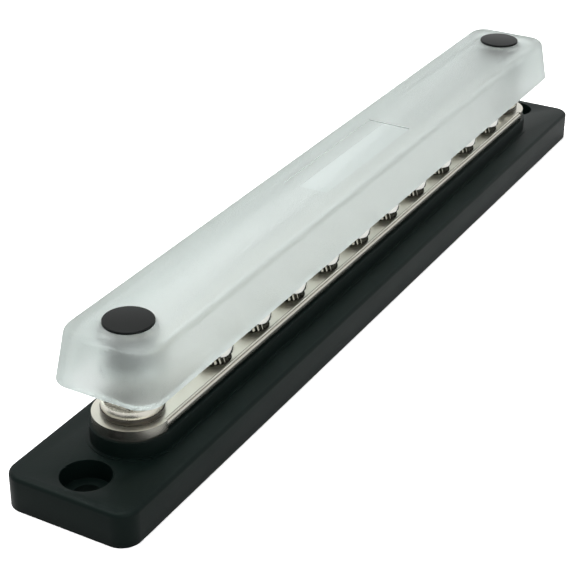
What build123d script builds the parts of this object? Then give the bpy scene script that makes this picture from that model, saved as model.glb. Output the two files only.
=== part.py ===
from build123d import *
import math
import os

os.makedirs("parts", exist_ok=True)

# A distribution bus bar: a moulded black base with a raised plinth, a plated strip with two threaded
# studs and a zigzag of twenty terminal screws, and a frosted cover on the studs, closed by two caps.
# X runs along the bar, Y across it and Z up. The origin is at the middle of the base's underside.

# Terminal screws, size M4, in two staggered rows
screw_count = 20
screw_step = 7.4
screw_row_offset = 3.4
screw_radius = 2.0
screw_length = 6.0
screw_head_radius = 4.0
screw_washers_height = 2.0
screw_head_height = 2.4
recess_width = 0.95
recess_span = 4.2
recess_depth = 1.6
recess_turn = 35.0
thread_clearance = 0.05

# Plated strip
bar_width = 15.5
bar_thickness = 2.3
bar_edge_radius = 0.9
last_screw_to_stud = 15.7

# Base plate and plinth
base_side_reach = 6.25
base_end_reach = 7.3
base_height = 7.2
base_corner_radius = 4.0
base_edge_chamfer = 0.6
plinth_height = 3.5
plinth_margin = 0.55
mounting_hole_reach = 15.2
mounting_hole_radius = 2.75
mounting_head_radius = 4.9
mounting_head_seat = 3.2
relief_clearance = 0.6
relief_end_gap = 0.8
core_count = 8
core_depth = 2.6
core_rib = 2.0
core_wall = 3.4

# Studs and their fasteners, size M6
stud_radius = 3.0
stud_shoulder_height = 10.0
stud_neck_radius = 2.5
stud_neck_length = 6.0
stud_head_flats = 10.0
stud_head_height = 4.0
stud_head_recess = 0.9
hex_pocket_clearance = 0.15
washer_radius = 6.1
washer_thickness = 1.2
lock_washer_radius = 5.95
lock_washer_thickness = 1.6
lock_washer_split = 1.0
lock_washer_split_angle = 25.0
washer_clearance = 0.25
nut_flats = 10.0
nut_height = 3.2
nut_edge_chamfer = 0.55

# Frosted cover
cover_skirt = 1.9
cover_height = 10.6
cover_end_reach = 10.7
cover_side_reach = 3.65
cover_end_lean = 2.0
cover_side_lean = 1.3
cover_corner_radius = 4.6
cover_edge_radius = 1.5
cover_wall = 1.9
boss_wall = 1.3
boss_floor = 1.4
boss_fit_clearance = 0.06
label_length = 40.5
label_width = 10.4
label_depth = 0.25
label_corner_radius = 0.5

# Caps
cap_head_radius = 4.9
cap_head_thickness = 0.5
cap_body_radius = 4.4
cap_body_gap = 0.3
cap_wall = 1.2
cap_fit_clearance = 0.05
cap_top_wall = 0.8

# Places along the bar, outwards from the screws: studs, cover ends, mounting holes, base ends
stud_spacing = (screw_count - 1) * screw_step + 2 * last_screw_to_stud
cover_length = stud_spacing + 2 * cover_end_reach
mounting_hole_spacing = stud_spacing + 2 * mounting_hole_reach
base_length = mounting_hole_spacing + 2 * base_end_reach
stud_places = [(-stud_spacing / 2, 0), (stud_spacing / 2, 0)]
mounting_places = [(-mounting_hole_spacing / 2, 0), (mounting_hole_spacing / 2, 0)]
end_names = ["left", "right"]

# Widths across the bar
bar_half_width = bar_width / 2
plinth_half_width = bar_half_width + plinth_margin
base_width = bar_width + 2 * base_side_reach
cover_width = bar_width + 2 * cover_side_reach
cap_bore_radius = cap_body_radius + cap_fit_clearance
boss_radius = cap_bore_radius + boss_wall
screw_hole_radius = screw_radius + thread_clearance
stud_hole_radius = stud_radius + thread_clearance

# Heights above the mounting surface
plinth_top = base_height + plinth_height
bar_top = plinth_top + bar_thickness
washer_top = bar_top + washer_thickness
lock_washer_top = washer_top + lock_washer_thickness
nut_top = lock_washer_top + nut_height
screw_top = bar_top + screw_washers_height + screw_head_height
stud_head_top = stud_head_recess + stud_head_height
stud_shoulder = bar_top + stud_shoulder_height
cover_rim = stud_shoulder - cover_skirt
cover_top = cover_rim + cover_height
cap_foot = stud_shoulder + boss_floor + cap_body_gap
cap_top = cover_top + cap_head_thickness

# Hollows in the base
relief_width = 2 * (screw_row_offset + screw_radius + relief_clearance)
relief_length = (screw_count - 1) * screw_step + 2 * (screw_radius + relief_clearance)
relief_floor = bar_top - screw_length - relief_end_gap
core_pitch = (stud_spacing - 2 * (stud_head_flats + core_rib)) / core_count


def screw_place(index):
    """Middle of one terminal screw: even steps along the bar, on alternate sides of its centreline."""
    along = (index - (screw_count - 1) / 2) * screw_step
    side = 1 if index % 2 == 0 else -1
    return (along, side * screw_row_offset)


screw_places = [screw_place(index) for index in range(screw_count)]

# Base: one moulding, with a plinth under the strip, a relief channel for the screws' ends, hexagon
# pockets for the stud heads, counterbored mounting holes and ribbed cores in its underside.
with BuildPart() as base:
    with BuildSketch():
        RectangleRounded(base_length, base_width, base_corner_radius)
    extrude(amount=base_height)
    chamfer(base.edges().group_by(Axis.Z)[-1], base_edge_chamfer)
    with BuildSketch(Plane.XY.offset(base_height)):
        SlotCenterToCenter(stud_spacing, 2 * plinth_half_width)
    extrude(amount=plinth_height)
    with BuildSketch(Plane.XY.offset(mounting_head_seat)):
        with Locations(*mounting_places):
            Circle(mounting_head_radius)
    extrude(amount=plinth_top, mode=Mode.SUBTRACT)
    with BuildSketch():
        with Locations(*mounting_places):
            Circle(mounting_hole_radius)
    extrude(amount=mounting_head_seat, mode=Mode.SUBTRACT)
    with BuildSketch():
        with Locations(*stud_places):
            RegularPolygon(stud_head_flats / 2 + hex_pocket_clearance, 6, major_radius=False)
    extrude(amount=stud_head_top, mode=Mode.SUBTRACT)
    with BuildSketch():
        with Locations(*stud_places):
            Circle(stud_hole_radius)
    extrude(amount=plinth_top, mode=Mode.SUBTRACT)
    with BuildSketch(Plane.XY.offset(relief_floor)):
        RectangleRounded(relief_length, relief_width, screw_radius)
    extrude(amount=plinth_top - relief_floor, mode=Mode.SUBTRACT)
    with BuildSketch():
        with GridLocations(core_pitch, 0, core_count, 1):
            Rectangle(core_pitch - core_rib, base_width - 2 * core_wall)
    extrude(amount=core_depth, mode=Mode.SUBTRACT)
base.part.label = "base"
export_step(base.part, "parts/base.step")

# Strip: drawn with rounded long edges, its full-round ends cut square through the thickness, drilled
# for the studs and tapped for the terminal screws.
with BuildPart() as bus_bar:
    with BuildSketch(Plane.YZ.offset(-stud_spacing / 2)):
        with Locations((0, plinth_top + bar_thickness / 2)):
            RectangleRounded(bar_width, bar_thickness, bar_edge_radius)
    extrude(amount=stud_spacing)
    with BuildSketch(Plane.XY.offset(plinth_top)):
        with Locations(*stud_places):
            Circle(bar_half_width)
        with Locations((0, 0)):
            Rectangle(stud_spacing, bar_width, mode=Mode.SUBTRACT)
    extrude(amount=bar_thickness)
    with BuildSketch(Plane.XY.offset(plinth_top)):
        with Locations(*stud_places):
            Circle(stud_hole_radius)
        with Locations(*screw_places):
            Circle(screw_hole_radius)
    extrude(amount=bar_thickness, mode=Mode.SUBTRACT)
bus_bar.part.label = "bus_bar"
export_step(bus_bar.part, "parts/bus_bar.step")

# At each end: a hexagon-headed stud from below, a flat washer, a split lock washer and a nut.
for end_name, stud_place in zip(end_names, stud_places):
    with BuildPart() as stud:
        with BuildSketch(Plane.XY.offset(stud_head_recess)):
            with Locations(stud_place):
                RegularPolygon(stud_head_flats / 2, 6, major_radius=False)
        extrude(amount=stud_head_height)
        with BuildSketch(Plane.XY.offset(stud_head_top)):
            with Locations(stud_place):
                Circle(stud_radius)
        extrude(amount=stud_shoulder - stud_head_top)
        with BuildSketch(Plane.XY.offset(stud_shoulder)):
            with Locations(stud_place):
                Circle(stud_neck_radius)
        extrude(amount=stud_neck_length)
    stud.part.label = "stud_" + end_name
    export_step(stud.part, "parts/stud_" + end_name + ".step")

    with BuildPart() as washer:
        with BuildSketch(Plane.XY.offset(bar_top)):
            with Locations(stud_place):
                Circle(washer_radius)
                Circle(stud_radius + washer_clearance, mode=Mode.SUBTRACT)
        extrude(amount=washer_thickness)
    washer.part.label = "flat_washer_" + end_name
    export_step(washer.part, "parts/flat_washer_" + end_name + ".step")

    with BuildPart() as lock_washer:
        with BuildSketch(Plane.XY.offset(washer_top)):
            with Locations(stud_place):
                Circle(lock_washer_radius)
                Circle(stud_radius + washer_clearance, mode=Mode.SUBTRACT)
        extrude(amount=lock_washer_thickness)
        split_middle = (stud_place[0], -lock_washer_radius, washer_top + lock_washer_thickness / 2)
        split_plane = Plane(origin=split_middle, x_dir=(1, 0, 0), z_dir=(0, -1, 0))
        with BuildSketch(split_plane.rotated((0, 0, lock_washer_split_angle))):
            Rectangle(lock_washer_split, 3 * lock_washer_thickness)
        extrude(amount=lock_washer_radius, both=True, mode=Mode.SUBTRACT)
    lock_washer.part.label = "lock_washer_" + end_name
    export_step(lock_washer.part, "parts/lock_washer_" + end_name + ".step")

    with BuildPart() as nut:
        with BuildSketch(Plane.XY.offset(lock_washer_top)):
            with Locations(stud_place):
                RegularPolygon(nut_flats / 2, 6, major_radius=False)
        extrude(amount=nut_height)
        with BuildSketch(Plane.XZ):
            with BuildLine():
                corner = stud_place[0] + nut_flats / math.sqrt(3)
                Polyline(
                    (corner + nut_edge_chamfer, nut_top + nut_edge_chamfer),
                    (corner - 2 * nut_edge_chamfer, nut_top + nut_edge_chamfer),
                    (corner - 2 * nut_edge_chamfer, nut_top),
                    (corner + nut_edge_chamfer, nut_top - 3 * nut_edge_chamfer / math.sqrt(3)),
                    close=True,
                )
            make_face()
        revolve(axis=Axis((stud_place[0], 0, 0), (0, 0, 1)), mode=Mode.SUBTRACT)
        with BuildSketch(Plane.XY.offset(lock_washer_top)):
            with Locations(stud_place):
                Circle(stud_hole_radius)
        extrude(amount=nut_height, mode=Mode.SUBTRACT)
    nut.part.label = "nut_" + end_name
    export_step(nut.part, "parts/nut_" + end_name + ".step")

# Terminal screws: pan heads with a cross recess. The lowest part of each head stands for the flat and
# spring washers that are captive on the screw.
for index, (screw_x, screw_y) in enumerate(screw_places):
    with BuildPart() as screw:
        with BuildSketch(Plane.XZ.offset(-screw_y)):
            with BuildLine():
                Polyline(
                    (screw_x, bar_top - screw_length),
                    (screw_x + screw_radius, bar_top - screw_length),
                    (screw_x + screw_radius, bar_top),
                    (screw_x + screw_head_radius, bar_top),
                    (screw_x + screw_head_radius, screw_top),
                    (screw_x, screw_top),
                    close=True,
                )
            make_face()
        revolve(axis=Axis((screw_x, screw_y, 0), (0, 0, 1)))
        with BuildSketch(Plane.XY.offset(screw_top)):
            with Locations((screw_x, screw_y)):
                Rectangle(recess_span, recess_width, rotation=recess_turn * index)
                Rectangle(recess_width, recess_span, rotation=recess_turn * index)
        extrude(amount=-recess_depth, mode=Mode.SUBTRACT)
    screw_name = "terminal_screw_%02d" % (index + 1)
    screw.part.label = screw_name
    export_step(screw.part, "parts/" + screw_name + ".step")

# Cover: a thin moulded shell with leaning walls, open below, with a tube boss round each stud and a
# shallow bare label panel in its top.
with BuildPart() as cover:
    with BuildSketch(Plane.XY.offset(cover_rim)):
        RectangleRounded(cover_length, cover_width, cover_corner_radius)
    with BuildSketch(Plane.XY.offset(cover_top)):
        RectangleRounded(
            cover_length - 2 * cover_end_lean,
            cover_width - 2 * cover_side_lean,
            cover_corner_radius,
        )
    loft()
    fillet(cover.edges().group_by(Axis.Z)[-1], cover_edge_radius)
    with BuildSketch(Plane.XY.offset(cover_rim)):
        RectangleRounded(
            cover_length - 2 * cover_wall,
            cover_width - 2 * cover_wall,
            cover_corner_radius - cover_wall / 2,
        )
    with BuildSketch(Plane.XY.offset(cover_top - cover_wall)):
        RectangleRounded(
            cover_length - 2 * cover_end_lean - 2 * cover_wall,
            cover_width - 2 * cover_side_lean - 2 * cover_wall,
            cover_corner_radius - cover_wall / 2,
        )
    loft(mode=Mode.SUBTRACT)
    with BuildSketch(Plane.XY.offset(stud_shoulder)):
        with Locations(*stud_places):
            Circle(boss_radius)
    extrude(amount=cover_top - cover_wall / 2 - stud_shoulder)
    with BuildSketch(Plane.XY.offset(stud_shoulder + boss_floor)):
        with Locations(*stud_places):
            Circle(cap_bore_radius)
    extrude(amount=cover_top - stud_shoulder, mode=Mode.SUBTRACT)
    with BuildSketch(Plane.XY.offset(stud_shoulder)):
        with Locations(*stud_places):
            Circle(stud_neck_radius + boss_fit_clearance)
    extrude(amount=boss_floor, mode=Mode.SUBTRACT)
    with BuildSketch(Plane.XY.offset(cover_top)):
        RectangleRounded(label_length, label_width, label_corner_radius)
    extrude(amount=-label_depth, mode=Mode.SUBTRACT)
cover.part.label = "cover"
export_step(cover.part, "parts/cover.step")

# Caps: a thin round head on the cover's top and a hollow plug that fills the boss round the stud's end.
for end_name, stud_place in zip(end_names, stud_places):
    with BuildPart() as cap:
        with BuildSketch(Plane.XY.offset(cap_foot)):
            with Locations(stud_place):
                Circle(cap_body_radius)
        extrude(amount=cover_top - cap_foot)
        with BuildSketch(Plane.XY.offset(cover_top)):
            with Locations(stud_place):
                Circle(cap_head_radius)
        extrude(amount=cap_head_thickness)
        with BuildSketch(Plane.XY.offset(cap_foot)):
            with Locations(stud_place):
                Circle(cap_body_radius - cap_wall)
        extrude(amount=cap_top - cap_top_wall - cap_foot, mode=Mode.SUBTRACT)
    cap.part.label = "cap_" + end_name
    export_step(cap.part, "parts/cap_" + end_name + ".step")
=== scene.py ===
import math
import bmesh
import bpy
from mathutils import Matrix, Vector


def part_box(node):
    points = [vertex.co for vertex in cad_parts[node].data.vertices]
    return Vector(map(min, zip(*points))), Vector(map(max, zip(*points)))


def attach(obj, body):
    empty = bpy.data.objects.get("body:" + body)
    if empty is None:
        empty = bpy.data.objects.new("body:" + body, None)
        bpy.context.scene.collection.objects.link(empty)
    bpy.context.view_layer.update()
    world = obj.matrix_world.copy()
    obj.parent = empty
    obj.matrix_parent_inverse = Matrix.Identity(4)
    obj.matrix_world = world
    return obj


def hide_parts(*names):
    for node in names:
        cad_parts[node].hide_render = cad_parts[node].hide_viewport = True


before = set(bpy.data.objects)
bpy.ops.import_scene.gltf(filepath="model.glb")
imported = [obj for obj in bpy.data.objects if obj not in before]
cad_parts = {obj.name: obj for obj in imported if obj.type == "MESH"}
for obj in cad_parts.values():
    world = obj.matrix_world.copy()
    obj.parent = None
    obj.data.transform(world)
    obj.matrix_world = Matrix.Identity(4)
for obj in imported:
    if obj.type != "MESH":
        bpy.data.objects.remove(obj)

# Camera: a long lens a third of a metre away, low over the near end, as the base's edges and holes
# show it in the photo.
mm = 0.001
camera_place = Vector((-281.6, -142.77, 170.78)) * mm
camera_azimuth = math.radians(-60.683)
camera_elevation = math.radians(28.762)
camera_roll = math.radians(0.435)
camera_turn = (
    Matrix.Rotation(camera_azimuth, 3, "Z")
    @ Matrix.Rotation(math.pi / 2 - camera_elevation, 3, "X")
    @ Matrix.Rotation(camera_roll, 3, "Z")
)
bpy.ops.object.camera_add(location=camera_place, rotation=camera_turn.to_euler())
camera = bpy.context.object
camera.data.sensor_width = 36
camera.data.lens = 96.33
camera.data.clip_start = 0.01
scene = bpy.context.scene
scene.camera = camera
scene.view_settings.view_transform = "Standard"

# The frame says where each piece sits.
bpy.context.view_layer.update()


def spread(node):
    """Middle and size of a CAD node's box, both in metres."""
    low, high = (Vector(corner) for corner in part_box(node))
    return (low + high) / 2, high - low


# Base: one black satin moulding, its top edge rounded, with a raised plinth under the strip and a
# counterbored hole for a screw near each end. Its underside is cored, with a hexagon pocket for
# each stud's head.
def add_node(tree, kind, **values):
    """One shader node, with its properties set by attribute and its sockets by name."""
    node = tree.nodes.new(kind)
    for key, value in values.items():
        if hasattr(node, key):
            setattr(node, key, value)
        else:
            node.inputs[key.replace("_", " ")].default_value = value
    return node


def link(tree, source, output, target, socket):
    """Joins one node's output to another's input, each given by its name or number."""
    tree.links.new(source.outputs[output], target.inputs[socket])


def new_material(name, slot):
    """A node material that is still empty, with the name of its slot."""
    material = bpy.data.materials.new(name)
    material.use_nodes = True
    material.node_tree.nodes.clear()
    material["slot"] = slot
    return material


def grain_group():
    """Fine moulded or ground grain in object space, as a height and a slow blotch."""
    group = bpy.data.node_groups.new("surface_grain", "ShaderNodeTree")
    for way, names in (("INPUT", ("Fine scale", "Blotch scale")), ("OUTPUT", ("Height", "Blotch"))):
        for name in names:
            group.interface.new_socket(name, in_out=way, socket_type="NodeSocketFloat")
    inlet = add_node(group, "NodeGroupInput")
    outlet = add_node(group, "NodeGroupOutput")
    place = add_node(group, "ShaderNodeTexCoord")
    for scale, detail, result in (("Fine scale", 3.0, "Height"), ("Blotch scale", 2.0, "Blotch")):
        noise = add_node(group, "ShaderNodeTexNoise", Detail=detail)
        link(group, place, "Object", noise, "Vector")
        link(group, inlet, scale, noise, "Scale")
        link(group, noise, "Fac", outlet, result)
    return group


surface_grain = grain_group()


def add_grain(tree, surface, scales, roughness, bump, depth):
    """Grain in a surface's height and slow changes in its roughness, whose node is returned."""
    fine, blotch = scales
    grain = add_node(
        tree, "ShaderNodeGroup", node_tree=surface_grain, Fine_scale=fine, Blotch_scale=blotch
    )
    shine = add_node(tree, "ShaderNodeMapRange", To_Min=roughness[0], To_Max=roughness[1])
    relief = add_node(tree, "ShaderNodeBump", Strength=bump, Distance=depth)
    link(tree, grain, "Blotch", shine, "Value")
    link(tree, shine, "Result", surface, "Roughness")
    link(tree, grain, "Height", relief, "Height")
    link(tree, relief, "Normal", surface, "Normal")
    return shine


grain_depth = 0.05 * mm
# Painted shade: upright faces get this share of the colour, over the facing range below.
wall_painted_shade = 0.6
rough_facing = {"From_Min": 0.80, "From_Max": 0.98}
shaded_facing = {"From_Min": 0.05, "From_Max": 0.40}
mix_colours = (6, 7)
mix_result = 2


def grained(name, slot, colour, roughness, scales, bump, wall_shine=None, **looks):
    """A solid surface: one colour, with grain in its height and slow changes in its roughness.
    Where wall_shine is given, the upright faces have that roughness and a darker colour,
    which is painted shade."""
    material = new_material(name, slot)
    tree = material.node_tree
    output = add_node(tree, "ShaderNodeOutputMaterial")
    surface = add_node(tree, "ShaderNodeBsdfPrincipled", Base_Color=(*colour, 1), **looks)
    shine = add_grain(tree, surface, scales, roughness, bump, grain_depth)
    if wall_shine is not None:
        facing = add_node(tree, "ShaderNodeNewGeometry")
        upward = add_node(tree, "ShaderNodeSeparateXYZ")
        polish = add_node(tree, "ShaderNodeMapRange", To_Min=wall_shine, **rough_facing)
        # Painted shade: the colour darkens on upright faces.
        wall_shade_factor = add_node(tree, "ShaderNodeMapRange", **shaded_facing)
        wall_shaded_colour = add_node(tree, "ShaderNodeMix", data_type="RGBA")
        for socket, level in zip(mix_colours, (wall_painted_shade, 1)):
            wall_shaded_colour.inputs[socket].default_value = (*(level * part for part in colour), 1)
        link(tree, facing, "Normal", upward, "Vector")
        link(tree, upward, "Z", polish, "Value")
        link(tree, shine, "Result", polish, "To Max")
        link(tree, polish, "Result", surface, "Roughness")
        link(tree, upward, "Z", wall_shade_factor, "Value")
        link(tree, wall_shade_factor, "Result", wall_shaded_colour, "Factor")
        link(tree, wall_shaded_colour, mix_result, surface, "Base Color")
    link(tree, surface, "BSDF", output, "Surface")
    return material


def edit(kind):
    """Opens the active object's mesh for editing, by vertices or by edges."""
    bpy.ops.object.mode_set(mode="EDIT")
    bpy.ops.mesh.select_mode(type=kind)


def pick(kind, test):
    """In edit mode, selects only what passes the test: a vertex by its place, an edge by its
    middle and its run."""
    mesh = bmesh.from_edit_mesh(bpy.context.object.data)
    bpy.ops.mesh.select_all(action="DESELECT")
    for part in getattr(mesh, kind):
        if kind == "verts":
            chosen = test(part.co)
        else:
            start, end = (corner.co for corner in part.verts)
            chosen = test((start + end) / 2, end - start)
        part.select_set(chosen)
    mesh.select_flush_mode()
    bmesh.update_edit_mesh(bpy.context.object.data)


def leave():
    """Closes the mesh again."""
    bpy.ops.object.mode_set(mode="OBJECT")


def box_block(middle, size):
    """A plain block, its place kept in its mesh."""
    bpy.ops.object.select_all(action="DESELECT")
    bpy.ops.mesh.primitive_cube_add(size=1)
    block = bpy.context.object
    block.scale = size
    block.location = middle
    bpy.ops.object.transform_apply(location=True, rotation=True, scale=True)
    return block


round_sides = 96
bore_sides = 64


def round_block(place, radius, foot, top, sides=round_sides):
    """A plain upright cylinder between two heights."""
    bpy.ops.object.select_all(action="DESELECT")
    bpy.ops.mesh.primitive_cylinder_add(
        vertices=sides,
        radius=radius,
        depth=top - foot,
        location=(place[0], place[1], (foot + top) / 2),
    )
    bpy.ops.object.transform_apply(location=True, rotation=True, scale=True)
    return bpy.context.object


def stadium(half_width, reach, foot, top):
    """A block with full-round ends, drawn as a disc whose two halves are moved apart."""
    block = round_block((0, 0), half_width, foot, top, end_sides)
    edit("VERT")
    pick("verts", lambda point: point.x > hair)
    bpy.ops.transform.translate(value=(reach, 0, 0))
    pick("verts", lambda point: point.x < -hair)
    bpy.ops.transform.translate(value=(-reach, 0, 0))
    leave()
    return block


def activate(piece):
    """Makes a piece the only one selected, and the active one."""
    bpy.ops.object.select_all(action="DESELECT")
    piece.select_set(True)
    bpy.context.view_layer.objects.active = piece


def combine(piece, tool, operation):
    """Cuts or joins a piece with a tool shape, which is used up."""
    activate(piece)
    bpy.ops.object.modifier_add(type="BOOLEAN")
    change = piece.modifiers[-1]
    change.operation = operation
    change.object = tool
    change.solver = "EXACT"
    bpy.ops.object.modifier_apply(modifier=change.name)
    bpy.data.objects.remove(tool)


def bore(piece, place, radius, foot, top, sides=bore_sides):
    """Cuts an upright round hole between two heights."""
    combine(piece, round_block(place, radius, foot, top, sides), "DIFFERENCE")


def carve(piece, middle, size):
    """Cuts a block out of a piece."""
    combine(piece, box_block(middle, size), "DIFFERENCE")


def soften(piece, radius, segments=2, angle=35):
    """Rounds every sharp edge of a piece a little."""
    activate(piece)
    bpy.ops.object.modifier_add(type="BEVEL")
    rounding = piece.modifiers[-1]
    rounding.width = radius
    rounding.segments = segments
    rounding.limit_method = "ANGLE"
    rounding.angle_limit = math.radians(angle)
    bpy.ops.object.modifier_apply(modifier=rounding.name)


def complete(piece, name, material, body, *nodes):
    """Names a finished piece, gives it its finish and puts it in place of its CAD nodes."""
    activate(piece)
    bpy.ops.object.shade_smooth_by_angle(angle=math.radians(32))
    piece.name = name
    piece.data.name = name
    piece.data.materials.clear()
    piece.data.materials.append(material)
    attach(piece, body)
    if nodes:
        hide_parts(*nodes)


def is_upright(middle, run):
    """True for an edge that stands up."""
    return abs(run.z) > aligned * run.length > 0


base_black = grained(
    "satin black plastic",
    "black_plastic",
    colour=(0.0018, 0.0050, 0.0043),
    roughness=(0.36, 0.46),
    scales=(2600, 60),
    bump=0.25,
    Specular_IOR_Level=0.1,
    Specular_Tint=(0.82, 1.0, 0.94, 1),
)
aligned = 0.9
hair = 0.01 * mm
past = 1.0 * mm
base_size = spread("base")[1]
base_height = 7.2 * mm
base_corner = 4.0 * mm
base_edge = 0.8 * mm
base_softening = 0.25 * mm
plinth_top = base_size.z
plinth_half_width = 8.3 * mm
plinth_root = base_height - past
end_sides = 126
foot_step_reach = 0.6 * mm
foot_step_height = 0.2 * mm
hole_x = 101.2 * mm
hole_radius = 2.75 * mm
counterbore_radius = 4.9 * mm
counterbore_floor = 3.2 * mm
stud_low, stud_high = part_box("stud_right")
stud_x = (stud_low[0] + stud_high[0]) / 2
stud_places = {"left": -stud_x, "right": stud_x}
stud_hole_radius = 3.05 * mm
head_pocket_radius = 5.95 * mm
head_pocket_roof = 4.9 * mm
hexagon_sides = 6
relief_middle = 10.2 * mm
relief_size = Vector((145.8, 12, 8)) * mm
core_count = 8
core_pitch = 19.25 * mm
core_size = Vector((17.25, 21.2, 5.2)) * mm

base = box_block((0, 0, base_height / 2), (base_size.x, base_size.y, base_height))
edit("EDGE")
pick("edges", is_upright)
bpy.ops.mesh.bevel(offset=base_corner, segments=16, profile=0.5)
pick("edges", lambda middle, run: middle.z > base_height - hair)
bpy.ops.mesh.bevel(offset=base_edge, segments=6, profile=0.5)
leave()
plinth = stadium(plinth_half_width, stud_x, plinth_root, plinth_top)
combine(base, plinth, "UNION")
foot_step = stadium(
    plinth_half_width + foot_step_reach, stud_x, plinth_root, base_height + foot_step_height
)
combine(base, foot_step, "UNION")
for place_x in stud_places.values():
    place = (place_x, 0)
    hole_place = (math.copysign(hole_x, place_x), 0)
    bore(base, hole_place, counterbore_radius, counterbore_floor, base_height + past, round_sides)
    bore(base, hole_place, hole_radius, -past, counterbore_floor + past)
    bore(base, place, stud_hole_radius, head_pocket_roof - past, plinth_top + past)
    bore(base, place, head_pocket_radius, -past, head_pocket_roof, hexagon_sides)
carve(base, (0, 0, relief_middle), relief_size)
for core in range(core_count):
    carve(base, ((core - (core_count - 1) / 2) * core_pitch, 0, 0), core_size)
soften(base, base_softening, segments=3)
complete(base, "moulded_base", base_black, "mounted_base", "base")

# Strip: a brass bar, bright plated, with rolled long edges and half-round ends sheared square. Its
# twenty tapped holes lie in two staggered rows, and a stud comes up through each end.
# Its upright faces are painted darker, as shade.
plating = grained(
    "bright plated brass",
    "plated_strip",
    colour=(0.62, 0.605, 0.54),
    roughness=(0.26, 0.36),
    scales=(1800, 90),
    bump=0.10,
    wall_shine=0.26,
    Metallic=1.0,
)
strip_middle, strip_size = spread("bus_bar")
strip_foot = strip_middle.z - strip_size.z / 2
strip_top = strip_middle.z + strip_size.z / 2
strip_edge = 0.9 * mm
tapped_radius = 2.05 * mm
tapped_sides = 40
drawn_line_width = 0.13 * mm
drawn_lines = ((0.68 * mm, 0.16 * mm), (0.24 * mm, 0.50 * mm))
screw_names = ["terminal_screw_%02d" % (index + 1) for index in range(20)]

strip = box_block(strip_middle, (2 * stud_x, strip_size.y, strip_size.z))
edit("EDGE")
pick("edges", lambda middle, run: abs(run.x) > aligned * run.length)
bpy.ops.mesh.bevel(offset=strip_edge, segments=8, profile=0.5)
leave()
for place_x in stud_places.values():
    place = (place_x, 0)
    half_round = round_block(place, strip_size.y / 2, strip_foot, strip_top, end_sides)
    inner_half = (abs(place_x), 2 * strip_size.y, 2 * strip_size.z)
    carve(half_round, (place_x / 2, 0, strip_middle.z), inner_half)
    combine(strip, half_round, "UNION")
    bore(strip, place, stud_hole_radius, strip_foot - past, strip_top + past)
for screw_name in screw_names:
    screw_middle = spread(screw_name)[0]
    bore(strip, screw_middle, tapped_radius, strip_foot - past, strip_top + past, tapped_sides)
for line_place, line_depth in drawn_lines:
    for side in (-1, 1):
        line_y = side * (strip_size.y / 2 - line_place)
        carve(strip, (0, line_y, strip_top), (2 * stud_x, drawn_line_width, 2 * line_depth))
complete(strip, "plated_strip", plating, "mounted_base", "bus_bar")

# Stud hardware at each end: a threaded stud from below, a flat washer, a split spring washer and a
# hexagon nut, all plated steel.
rod_sides = 32
rod_rows_per_turn = 8
thread_depth = 0.55
thread_flank = 1.25


def threaded_rod(place, radius, pitch, foot, top):
    """An upright rod with a right-hand thread: a grid rolled into a tube, its rows pressed in
    along a helix, and both ends closed."""
    rows = max(2, round(rod_rows_per_turn * (top - foot) / pitch))
    bpy.ops.object.select_all(action="DESELECT")
    bpy.ops.mesh.primitive_grid_add(x_subdivisions=rod_sides, y_subdivisions=rows, size=2)
    rod = bpy.context.object
    edit("VERT")
    mesh = bmesh.from_edit_mesh(rod.data)
    for point in mesh.verts:
        turn = (point.co.x + 1) / 2
        height = (point.co.y + 1) / 2 * (top - foot)
        wave = abs((height / pitch - turn) % 1 - 0.5) * 2
        reach = radius - thread_depth * pitch * min(1, thread_flank * wave)
        angle = 2 * math.pi * turn
        point.co = (
            place[0] + reach * math.cos(angle),
            place[1] + reach * math.sin(angle),
            foot + height,
        )
    bmesh.ops.remove_doubles(mesh, verts=mesh.verts, dist=hair)
    bmesh.ops.holes_fill(mesh, edges=mesh.edges, sides=0)
    bmesh.ops.recalc_face_normals(mesh, faces=mesh.faces)
    bmesh.update_edit_mesh(rod.data)
    leave()
    return rod


def steel(name, slot, colour, roughness, scales, bump):
    """Plated steel in one of its shades."""
    return grained(name, slot, colour, roughness, scales, bump, Metallic=1.0)


# The plain washers' near-black colour is painted shade under the spring washer.
shade_dark_washer_steel = steel(
    "plated steel painted dark as shade", "plated_steel", (0.060, 0.056, 0.048), (0.12, 0.22), (1500, 200), 0.1
)
nut_steel = steel(
    "plated steel", "plated_steel", (0.36, 0.35, 0.33), (0.12, 0.22), (1500, 200), 0.1
)
spring_steel = steel(
    "worn plated steel", "plated_steel", (0.74, 0.72, 0.64), (0.22, 0.34), (900, 260), 0.5
)
hexagon_radius = 5.77 * mm
hexagon_softening = 0.3 * mm
stud_head_height = 4.0 * mm
stud_radius = 3.0 * mm
stud_pitch = 1.0 * mm
stud_shoulder = 23.0 * mm
neck_radius = 2.5 * mm
neck_softening = 0.25 * mm
washer_bore = 3.25 * mm
flat_radius = 6.1 * mm
flat_foot = 13.0 * mm
flat_top = 14.2 * mm
flat_softening = 0.12 * mm
spring_radius = 5.95 * mm
spring_top = 15.8 * mm
spring_softening = 0.14 * mm
split_middle = Vector((0, -4.5, 15)) * mm
split_size = Vector((1.2, 5, 6)) * mm
split_lean = math.radians(-55)
split_turns = {"left": math.radians(-97), "right": math.radians(40)}
nut_bore = 3.05 * mm

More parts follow.
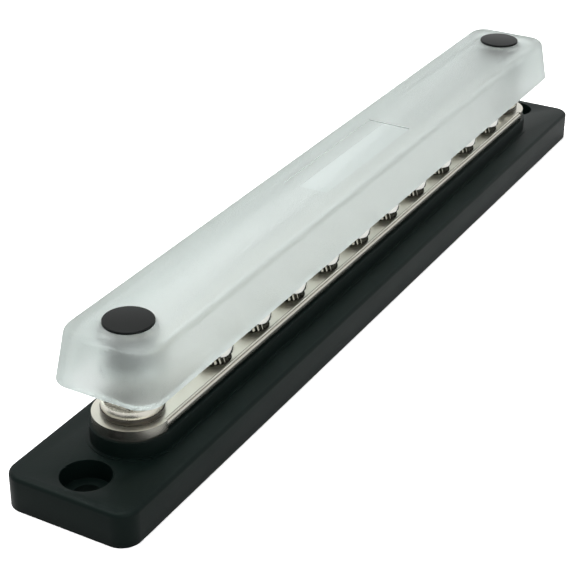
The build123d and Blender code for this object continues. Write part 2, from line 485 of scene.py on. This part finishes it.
for end_name, place_x in stud_places.items():
    place = (place_x, 0)
    head_low, stud_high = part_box("stud_" + end_name)
    head_top = head_low[2] + stud_head_height
    stud = round_block(place, hexagon_radius, head_low[2], head_top, hexagon_sides)
    soften(stud, hexagon_softening)
    thread = threaded_rod(place, stud_radius, stud_pitch, head_top - past, stud_shoulder)
    combine(stud, thread, "UNION")
    neck = round_block(place, neck_radius, stud_shoulder - past, stud_high[2], bore_sides)
    soften(neck, neck_softening)
    combine(stud, neck, "UNION")
    complete(stud, "stud_body_" + end_name, nut_steel, "mounted_base", "stud_" + end_name)

    washer = round_block(place, flat_radius, flat_foot, flat_top)
    bore(washer, place, washer_bore, flat_foot - past, flat_top + past)
    soften(washer, flat_softening)
    washer_node = "flat_washer_" + end_name
    complete(washer, "plain_washer_" + end_name, shade_dark_washer_steel, "mounted_base", washer_node)

    spring = round_block(place, spring_radius, flat_top, spring_top)
    bore(spring, place, washer_bore, flat_top - past, spring_top + past)
    split = box_block(split_middle, split_size)
    edit("VERT")
    pick("verts", lambda point: True)
    bpy.ops.transform.rotate(value=split_lean, orient_axis="Y", center_override=split_middle)
    split_turn = split_turns[end_name]
    bpy.ops.transform.rotate(value=split_turn, orient_axis="Z", center_override=(0, 0, 0))
    bpy.ops.transform.translate(value=(place_x, 0, 0))
    leave()
    combine(spring, split, "DIFFERENCE")
    soften(spring, spring_softening)
    spring_node = "lock_washer_" + end_name
    spring_body = spring_node + "_body"
    complete(spring, "spring_washer_" + end_name, spring_steel, spring_body, spring_node)

    nut_low, nut_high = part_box("nut_" + end_name)
    nut = round_block(place, hexagon_radius, nut_low[2], nut_high[2], hexagon_sides)
    bore(nut, place, nut_bore, nut_low[2] - past, nut_high[2] + past)
    soften(nut, hexagon_softening)
    complete(nut, "hexagon_nut_" + end_name, nut_steel, "nut_%s_body" % end_name, "nut_" + end_name)

# Terminal screws: pan heads with a cross recess, each over a captive flat washer and a toothed
# spring washer. All twenty are alike, each stopped at another turn.
screw_plate = steel(
    "bright plated screw", "screw_plating", (0.80, 0.79, 0.76), (0.08, 0.18), (1500, 300), 0.06
)
# Captive washers: near black as painted shade under the head, lighter flanks as painted glints.
shade_dark_steel = steel(
    "spring steel painted dark as shade", "screw_plating", (0.03, 0.03, 0.024), (0.05, 0.10), (1500, 300), 0.1
)
glint_flank_steel = steel(
    "screw plating on painted glints", "screw_plating", (0.46, 0.45, 0.38), (0.12, 0.24), (1500, 300), 0.2
)
first_middle, first_size = spread(screw_names[0])
head_radius = first_size.x / 2
head_height = 2.4 * mm
head_edge = 0.9 * mm
head_softening = 0.1 * mm
screw_foot = first_middle.z - first_size.z / 2
screw_top = first_middle.z + first_size.z / 2
head_foot = screw_top - head_height
screw_radius = 2.0 * mm
screw_pitch = 0.7 * mm
thread_end = screw_top - 2 * mm
recess_sizes = (Vector((4.2, 0.95, 3.2)) * mm, Vector((0.95, 4.2, 3.2)) * mm)
screw = round_block((0, 0), head_radius, head_foot, screw_top, bore_sides)
edit("EDGE")
pick("edges", lambda middle, run: middle.z > screw_top - hair)
bpy.ops.mesh.bevel(offset=head_edge, segments=6, profile=0.5)
leave()
for recess_size in recess_sizes:
    carve(screw, (0, 0, screw_top), recess_size)
soften(screw, head_softening)
combine(screw, threaded_rod((0, 0), screw_radius, screw_pitch, screw_foot, thread_end), "UNION")

ring_radius = 3.5 * mm
ring_height = 0.3 * mm
ring_bore = 2.02 * mm
ring_bore_sides = 48
ring_softening = 0.06 * mm
tooth_foot = strip_top + 0.2 * mm
tooth_radius = 3.45 * mm
tooth_waist = 0.88
tooth_count = 20
tooth_step = math.radians(180 / tooth_count)
glint_flank_share = 0.35
captive = round_block((0, 0), ring_radius, strip_top, strip_top + ring_height, bore_sides)
teeth = round_block((0, 0), tooth_radius, tooth_foot, head_foot, 2 * tooth_count)
edit("VERT")
pick("verts", lambda point: round(math.atan2(point.y, point.x) / tooth_step) % 2 == 1)
waist_scale = (tooth_waist, tooth_waist, 1)
bpy.ops.transform.resize(value=waist_scale, center_override=(0, 0, strip_top))
pick("verts", lambda point: point.z > head_foot - hair)
bpy.ops.transform.rotate(value=tooth_step, orient_axis="Z", center_override=(0, 0, strip_top))
leave()
combine(captive, teeth, "UNION")
bore(captive, (0, 0), ring_bore, strip_top - past, screw_top, ring_bore_sides)
soften(captive, ring_softening)


def place_copy(pattern, place, turn):
    """A copy of a finished piece with its own mesh, turned and set down at a place."""
    copy = pattern.copy()
    copy.data = pattern.data.copy()
    bpy.context.collection.objects.link(copy)
    copy.rotation_euler.z = turn
    copy.location = (place.x, place.y, 0)
    activate(copy)
    bpy.ops.object.transform_apply(location=True, rotation=True, scale=True)
    return copy


turn_between_screws = math.radians(35)
for index, screw_name in enumerate(screw_names):
    screw_middle = spread(screw_name)[0]
    turn = turn_between_screws * index
    body = screw_name + "_body"
    head = place_copy(screw, screw_middle, turn)
    complete(head, "pan_screw_%02d" % (index + 1), screw_plate, body, screw_name)
    rings = place_copy(captive, screw_middle, turn)
    complete(rings, "captive_washers_%02d" % (index + 1), shade_dark_steel, body)
    # One flank of each tooth takes the lighter plating, painted glints; the rest stay near black,
    # painted shade.
    rings.data.materials.append(glint_flank_steel)
    for face in rings.data.polygons:
        out = (face.center - screw_middle).to_2d()
        around = out.x * face.normal.y - out.y * face.normal.x
        face.material_index = 1 if around > glint_flank_share * out.length else 0
bpy.data.objects.remove(screw)
bpy.data.objects.remove(captive)

# Cover: frosted clear plastic, thin-walled with leaning sides, a tube boss over each stud and a
# bare shallow label panel in its top.
cover_middle, cover_size = spread("cover")
cover_rim = cover_middle.z - cover_size.z / 2
cover_top = cover_middle.z + cover_size.z / 2
end_lean = 2.0 * mm
side_lean = 1.3 * mm
wall = 1.9 * mm
cover_corner = 4.6 * mm
hollow_corner = 3.65 * mm
cover_edge = 1.5 * mm
boss_radius = 5.75 * mm
boss_foot = 23.0 * mm
cap_hole_radius = 4.45 * mm
cap_hole_floor = 24.4 * mm
neck_hole_radius = 2.56 * mm
cover_softening = 0.12 * mm
rim_overcut = 0.5 * mm
panel_size = Vector((40.5, 10.4, 0.3)) * mm
patch_size = Vector((40.4, 6.8, 0.34)) * mm
patch_y = -1.75 * mm


def shell_block(length, width, top, corner):
    """A block from the rim up, with rounded upright corners, whose top is smaller than its foot."""
    block = box_block((0, 0, (cover_rim + top) / 2), (length, width, top - cover_rim))
    edit("EDGE")
    pick("edges", is_upright)
    bpy.ops.mesh.bevel(offset=corner, segments=12, profile=0.5)
    pick("verts", lambda point: point.z > (cover_rim + top) / 2)
    shrink = (1 - 2 * end_lean / length, 1 - 2 * side_lean / width, 1)
    bpy.ops.transform.resize(value=shrink, center_override=(0, 0, top))
    leave()
    return block


cover = shell_block(cover_size.x, cover_size.y, cover_top, cover_corner)
edit("EDGE")
pick("edges", lambda middle, run: middle.z > cover_top - hair)
bpy.ops.mesh.bevel(offset=cover_edge, segments=8, profile=0.5)
leave()
hollow = shell_block(
    cover_size.x - 2 * wall, cover_size.y - 2 * wall, cover_top - wall, hollow_corner
)
edit("VERT")
pick("verts", lambda point: point.z < cover_rim + hair)
bpy.ops.transform.translate(value=(0, 0, -rim_overcut))
leave()
combine(cover, hollow, "DIFFERENCE")
for place_x in stud_places.values():
    place = (place_x, 0)
    combine(cover, round_block(place, boss_radius, boss_foot, cover_top - past), "UNION")
    bore(cover, place, cap_hole_radius, cap_hole_floor, cover_top + past, round_sides)
    bore(cover, place, neck_hole_radius, boss_foot - past, cap_hole_floor + past)
soften(cover, cover_softening, angle=50)
carve(cover, (0, 0, cover_top), panel_size)
carve(cover, (0, patch_y, cover_top), patch_size)


frost_scales = (4500, 300)
frost_depth = 0.12 * mm
shadow_tint = (0.84, 0.86, 0.85, 1)


def clear_plastic(name, colour, roughness, clearness, bump):
    """Milky clear plastic. Light passes it on its way to the floor."""
    material = new_material(name, "frosted_cover")
    tree = material.node_tree
    output = add_node(tree, "ShaderNodeOutputMaterial")
    surface = add_node(
        tree,
        "ShaderNodeBsdfPrincipled",
        Base_Color=(*colour, 1),
        IOR=1.35,
        Transmission_Weight=clearness,
    )
    add_grain(tree, surface, frost_scales, roughness, bump, frost_depth)
    clear = add_node(tree, "ShaderNodeBsdfTransparent", Color=shadow_tint)
    rays = add_node(tree, "ShaderNodeLightPath")
    mix = add_node(tree, "ShaderNodeMixShader")
    link(tree, rays, "Is Shadow Ray", mix, "Fac")
    link(tree, surface, "BSDF", mix, 1)
    link(tree, clear, "BSDF", mix, 2)
    link(tree, mix, "Shader", output, "Surface")
    return material


boss_reach = 6.0 * mm
skin_depth = 0.5 * mm
core_drop = 1.0 * mm


def is_outside(point, normal):
    """True on the skin of the shell, false in its hollow and on the bosses inside it."""
    along = max(-stud_x, min(stud_x, point.x))
    from_stud = Vector((point.x - math.copysign(stud_x, point.x), point.y)).length
    if from_stud < boss_reach and point.z < cover_top - skin_depth:
        return False
    core = Vector((along, 0, cover_middle.z - core_drop))
    return normal.dot(point - core) > 0


frosted_skin = clear_plastic("frosted plastic", (0.76, 0.83, 0.805), (0.33, 0.41), 0.85, 1.0)
clear_inside = clear_plastic("clear plastic inside", (0.95, 0.97, 0.965), (0.03, 0.08), 0.95, 0.05)
# The label patch has a finer grain, and its lighter colour is painted light on that part of the
# panel floor.
lit_label_patch = clear_plastic("fine frosted plastic painted lighter", (0.80, 0.88, 0.86), (0.40, 0.46), 0.75, 0.2)
complete(cover, "frosted_shell", frosted_skin, "cover_body", "cover")
cover.data.materials.append(clear_inside)
cover.data.materials.append(lit_label_patch)
patch_floor = cover_top - patch_size.z / 2
for face in cover.data.polygons:
    face.material_index = 0 if is_outside(face.center, face.normal) else 1
    if abs(face.center.z - patch_floor) < hair / 2 and face.normal.z > aligned:
        face.material_index = 2

# Caps: smooth black discs, each with a hollow plug that fills the cover's boss. Their edges are
# lightly rounded.
cap_black = grained(
    "smooth black plastic",
    "cap_plastic",
    colour=(0.0035, 0.0050, 0.0046),
    roughness=(0.30, 0.38),
    scales=(2600, 80),
    bump=0.1,
    Specular_IOR_Level=0.12,
)
cap_radius = 4.9 * mm
cap_edge = 0.2 * mm
plug_radius = 4.4 * mm
plug_top = cover_top + 0.2 * mm
plug_hollow_radius = 3.2 * mm
plug_hollow_roof = 31.4 * mm
for end_name, place_x in stud_places.items():
    place = (place_x, 0)
    cap_low, cap_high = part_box("cap_" + end_name)
    cap = round_block(place, cap_radius, cover_top, cap_high[2])
    edit("EDGE")
    pick("edges", lambda middle, run: middle.z > cap_high[2] - hair)
    bpy.ops.mesh.bevel(offset=cap_edge, segments=4, profile=0.5)
    leave()
    combine(cap, round_block(place, plug_radius, cap_low[2], plug_top), "UNION")
    bore(cap, place, plug_hollow_radius, cap_low[2] - past, plug_hollow_roof)
    complete(cap, "push_cap_" + end_name, cap_black, "cap_%s_body" % end_name, "cap_" + end_name)

# Stage: a white floor and background, one large soft light above and behind, and a weaker one in
# front. Only the camera, mirrors and clear plastic see the background as plain white.
bpy.ops.mesh.primitive_plane_add(size=6, location=(0, 0, 0))
floor = bpy.context.object
floor.name = "floor"
floor_white = new_material("white floor", "stage")
floor_tree = floor_white.node_tree
floor_output = add_node(floor_tree, "ShaderNodeOutputMaterial")
floor_paper = add_node(floor_tree, "ShaderNodeBsdfDiffuse")
floor_rays = add_node(floor_tree, "ShaderNodeLightPath")
floor_gain = add_node(floor_tree, "ShaderNodeMapRange", To_Min=0.8, To_Max=1.9)
link(floor_tree, floor_rays, "Is Camera Ray", floor_gain, "Value")
link(floor_tree, floor_gain, "Result", floor_paper, "Color")
link(floor_tree, floor_paper, "BSDF", floor_output, "Surface")
floor.data.materials.append(floor_white)

world = bpy.data.worlds.new("studio")
scene.world = world
world.use_nodes = True
sky = world.node_tree
sky.nodes.clear()
sky_output = add_node(sky, "ShaderNodeOutputWorld")
sky_place = add_node(sky, "ShaderNodeTexCoord")
sky_height = add_node(sky, "ShaderNodeSeparateXYZ")
sky_ramp = add_node(
    sky, "ShaderNodeMapRange", From_Min=0.3, From_Max=0.9, To_Min=0.16, To_Max=1.0
)
room = add_node(sky, "ShaderNodeBackground", Strength=0.8)
paper = add_node(sky, "ShaderNodeBackground", Color=(1, 1, 1, 1), Strength=1.0)
sky_rays = add_node(sky, "ShaderNodeLightPath")
sky_shiny = add_node(sky, "ShaderNodeMath", operation="MAXIMUM")
sky_seen = add_node(sky, "ShaderNodeMath", operation="MAXIMUM")
sky_mix = add_node(sky, "ShaderNodeMixShader")
link(sky, sky_place, "Generated", sky_height, "Vector")
link(sky, sky_height, "Z", sky_ramp, "Value")
link(sky, sky_ramp, "Result", room, "Color")
link(sky, sky_rays, "Is Glossy Ray", sky_shiny, 0)
link(sky, sky_rays, "Is Transmission Ray", sky_shiny, 1)
link(sky, sky_rays, "Is Camera Ray", sky_seen, 0)
link(sky, sky_shiny, "Value", sky_seen, 1)
link(sky, sky_seen, "Value", sky_mix, "Fac")
link(sky, room, "Background", sky_mix, 1)
link(sky, paper, "Background", sky_mix, 2)
link(sky, sky_mix, "Shader", sky_output, "Surface")


def soft_light(name, place, target, size, power):
    """A square area light that looks at a point."""
    aim = (Vector(target) - Vector(place)).to_track_quat("-Z", "Y").to_euler()
    bpy.ops.object.light_add(type="AREA", location=place, rotation=aim)
    lamp = bpy.context.object
    lamp.name = name
    lamp.data.size = size
    lamp.data.energy = power


soft_light("top light", (0.12, 0.30, 1.2), (0.02, 0, 0), 1.0, 9.2)
soft_light("front fill", (-0.80, -1.40, 1.1), (0, 0, 0.01), 1.8, 11.0)
